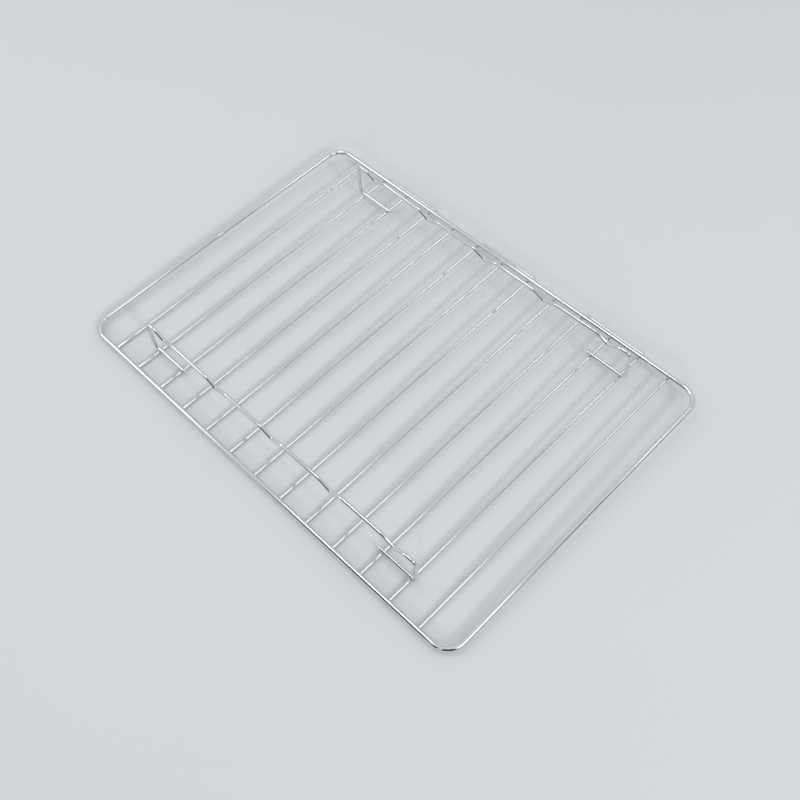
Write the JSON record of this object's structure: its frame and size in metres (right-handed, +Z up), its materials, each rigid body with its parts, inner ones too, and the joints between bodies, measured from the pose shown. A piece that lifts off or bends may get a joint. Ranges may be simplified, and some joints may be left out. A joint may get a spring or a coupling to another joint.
{
  "type": "oven shelf rack",
  "caption": "Chromed wire oven rack: round frame wire, welded cross wires with hairpin loops at the back, and two bent leg wires standing on the grid.",
  "frame": {"origin": "under the middle of the rack's outline, at the level of the surface that its back loops touch", "axes": "+X along the long side, +Y to the back rail with the loops, +Z up, with the grid down and the leg wires up as in the picture"},
  "size_m": [0.404, 0.293, 0.0434],
  "materials": {
    "frame_chrome": "bright chrome plate on thick round steel wire",
    "cross_chrome": "bright chrome plate on thin round steel wire",
    "leg_chrome": "bright chrome plate on bent round steel wire"
  },
  "bodies": {
    "root": {"frame_wire": "frame_chrome", "cross_wire_1": "cross_chrome", "cross_wire_2": "cross_chrome", "cross_wire_3": "cross_chrome", "cross_wire_4": "cross_chrome", "cross_wire_5": "cross_chrome", "cross_wire_6": "cross_chrome", "cross_wire_7": "cross_chrome", "loop_wire_left": "cross_chrome", "loop_wire_middle": "cross_chrome", "loop_wire_right": "cross_chrome", "front_leg_wire": "leg_chrome", "back_leg_wire": "leg_chrome"}
  },
  "joints": []
}
